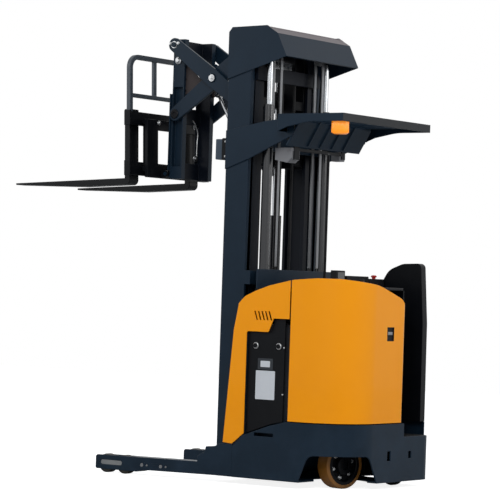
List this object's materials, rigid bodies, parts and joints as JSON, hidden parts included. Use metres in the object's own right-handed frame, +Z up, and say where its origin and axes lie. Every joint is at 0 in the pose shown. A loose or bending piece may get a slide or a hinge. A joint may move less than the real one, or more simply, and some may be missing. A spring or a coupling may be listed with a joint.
{
  "type": "stand-up pantograph reach truck",
  "caption": "Battery stand-up reach truck: telescopic mast, scissor reach carriage with forks and backrest, straddle legs, overhead guard and a hinged drive cover.",
  "frame": {"origin": "on the floor, at the middle of the whole truck's length and width", "axes": "+X along the forks, +Y to the truck's left, +Z up"},
  "size_m": [2.9118, 1.09, 2.988],
  "materials": {
    "navy_paint": "satin paint, slightly worn",
    "yellow_paint": "gloss paint",
    "black_paint": "satin paint",
    "grey_steel": "machined steel",
    "chrome": "polished rod",
    "polyurethane": "cast polyurethane, scuffed",
    "battery_grey": "painted steel tray",
    "black_plastic": "moulded, fine grain",
    "amber_lens": "clear amber lens",
    "fork_steel": "worn paint on forged steel",
    "floor_rubber": "ribbed mat"
  },
  "bodies": {
    "chassis": {"chassis_frame": "navy_paint", "leg_left": "navy_paint", "leg_right": "navy_paint", "battery": "battery_grey", "operator_floor": "floor_rubber", "right_wall": "black_paint", "rear_bulkhead": "black_paint", "compartment_panel": "black_paint", "side_cover_left": "yellow_paint", "side_cover_right": "yellow_paint", "battery_gate_left": "black_paint", "battery_gate_right": "black_paint", "hinge_post": "black_paint", "console": "black_plastic", "outer_mast": "navy_paint", "mast_head": "navy_paint", "lift_cylinders": "black_paint", "overhead_guard": "navy_paint", "amber_lamp": "amber_lens", "guard_fittings": "black_paint"},
    "drive_unit": {"drive_unit": "black_paint"},
    "drive_wheel": {"drive_wheel": "polyurethane"},
    "caster_fork": {"caster_fork": "black_paint"},
    "caster_wheel": {"caster_wheel": "polyurethane"},
    "load_wheel_left_front": {"load_wheel_left_front": "polyurethane"},
    "load_wheel_left_rear": {"load_wheel_left_rear": "polyurethane"},
    "load_wheel_right_front": {"load_wheel_right_front": "polyurethane"},
    "load_wheel_right_rear": {"load_wheel_right_rear": "polyurethane"},
    "swing_cover": {"swing_cover": "yellow_paint"},
    "mid_mast": {"mid_mast": "black_paint", "lift_rods": "chrome"},
    "inner_mast": {"inner_mast": "navy_paint", "free_lift_cylinder": "black_paint"},
    "free_lift_head": {"free_lift_crosshead": "grey_steel"},
    "mast_carriage": {"mast_carriage": "black_paint"},
    "inner_arms": {"inner_arms": "navy_paint"},
    "outer_arms": {"outer_arms": "navy_paint"},
    "front_frame": {"front_frame": "navy_paint"},
    "reach_tubes": {"reach_cylinders": "black_paint"},
    "reach_rods": {"reach_rods": "chrome"},
    "tilt_frame": {"tilt_frame": "navy_paint"},
    "fork_carriage": {"fork_carriage": "black_paint", "load_backrest": "black_paint", "fork_left": "fork_steel", "fork_right": "fork_steel"}
  },
  "joints": [
    {"name": "drive_steer", "type": "hinge", "parent": "chassis", "child": "drive_unit", "pos_m": [-1.2129, 0.205, 0.35], "axis": [0, 0, 1], "range_deg": [-165, 15]},
    {"name": "drive_spin", "type": "hinge", "parent": "drive_unit", "child": "drive_wheel", "pos_m": [-1.2129, 0.205, 0.1525], "axis": [0.9659, -0.2588, 0], "continuous": true},
    {"name": "caster_swivel", "type": "hinge", "parent": "chassis", "child": "caster_fork", "pos_m": [-1.2309, -0.355, 0.214], "axis": [0, 0, 1], "continuous": true},
    {"name": "caster_spin", "type": "hinge", "parent": "caster_fork", "child": "caster_wheel", "pos_m": [-1.2689, -0.355, 0.075], "axis": [0, 1, 0], "continuous": true},
    {"name": "load_wheel_left_front_spin", "type": "hinge", "parent": "chassis", "child": "load_wheel_left_front", "pos_m": [0.45709, 0.495, 0.0635], "axis": [0, 1, 0], "continuous": true},
    {"name": "load_wheel_left_rear_spin", "type": "hinge", "parent": "chassis", "child": "load_wheel_left_rear", "pos_m": [0.3031, 0.495, 0.0635], "axis": [0, 1, 0], "continuous": true},
    {"name": "load_wheel_right_front_spin", "type": "hinge", "parent": "chassis", "child": "load_wheel_right_front", "pos_m": [0.45709, -0.495, 0.0635], "axis": [0, 1, 0], "continuous": true},
    {"name": "load_wheel_right_rear_spin", "type": "hinge", "parent": "chassis", "child": "load_wheel_right_rear", "pos_m": [0.3031, -0.495, 0.0635], "axis": [0, 1, 0], "continuous": true},
    {"name": "cover_hinge", "type": "hinge", "parent": "chassis", "child": "swing_cover", "pos_m": [-1.04591, 0.528, 0.9], "axis": [0, 0, -1], "range_deg": [0, 95]},
    {"name": "mast_lift", "type": "slide", "parent": "chassis", "child": "mid_mast", "axis": [0, 0, 1], "range_m": [0, 2.25]},
    {"name": "inner_lift", "type": "slide", "parent": "mid_mast", "child": "inner_mast", "axis": [0, 0, 1], "range_m": [0, 2.25]},
    {"name": "carriage_lift", "type": "slide", "parent": "inner_mast", "child": "mast_carriage", "axis": [0, 0, 1], "range_m": [-1.87, 0.06]},
    {"name": "free_lift_stroke", "type": "slide", "parent": "inner_mast", "child": "free_lift_head", "axis": [0, 0, 1], "range_m": [-0.935, 0.03]},
    {"name": "reach", "type": "hinge", "parent": "mast_carriage", "child": "inner_arms", "pos_m": [-0.4429, 0, 2.907], "axis": [0, -1, 0], "range_deg": [-36, 6]},
    {"name": "arm_cross", "type": "hinge", "parent": "inner_arms", "child": "outer_arms", "pos_m": [-0.11359, 0, 2.67297], "axis": [0, -1, 0], "range_deg": [-12, 72]},
    {"name": "front_pivot", "type": "hinge", "parent": "outer_arms", "child": "front_frame", "pos_m": [0.21572, 0, 2.907], "axis": [0, -1, 0], "range_deg": [-36, 6]},
    {"name": "reach_tube_pivot", "type": "hinge", "parent": "mast_carriage", "child": "reach_tubes", "pos_m": [-0.3609, 0, 2.06], "axis": [0, 1, 0], "range_deg": [-19.8, 3.3]},
    {"name": "reach_stroke", "type": "slide", "parent": "reach_tubes", "child": "reach_rods", "axis": [0.5043, 0, 0.8635], "range_m": [-0.24829, 0.04146]},
    {"name": "fork_tilt", "type": "hinge", "parent": "front_frame", "child": "tilt_frame", "pos_m": [0.3091, 0, 2.035], "axis": [0, 1, 0], "range_deg": [-6.2, 0.8]},
    {"name": "side_shift", "type": "slide", "parent": "tilt_frame", "child": "fork_carriage", "axis": [0, 1, 0], "range_m": [-0.05, 0.05]}
  ],
  "couplings": [
    {"joint": "inner_lift", "follows": "mast_lift", "ratio": 1},
    {"joint": "free_lift_stroke", "follows": "carriage_lift", "ratio": 0.5},
    {"joint": "arm_cross", "follows": "reach", "ratio": -2},
    {"joint": "front_pivot", "follows": "reach", "ratio": 1},
    {"joint": "reach_tube_pivot", "follows": "reach", "ratio": 0.55},
    {"joint": "reach_stroke", "follows": "reach", "m_per_rad": 0.395}
  ]
}
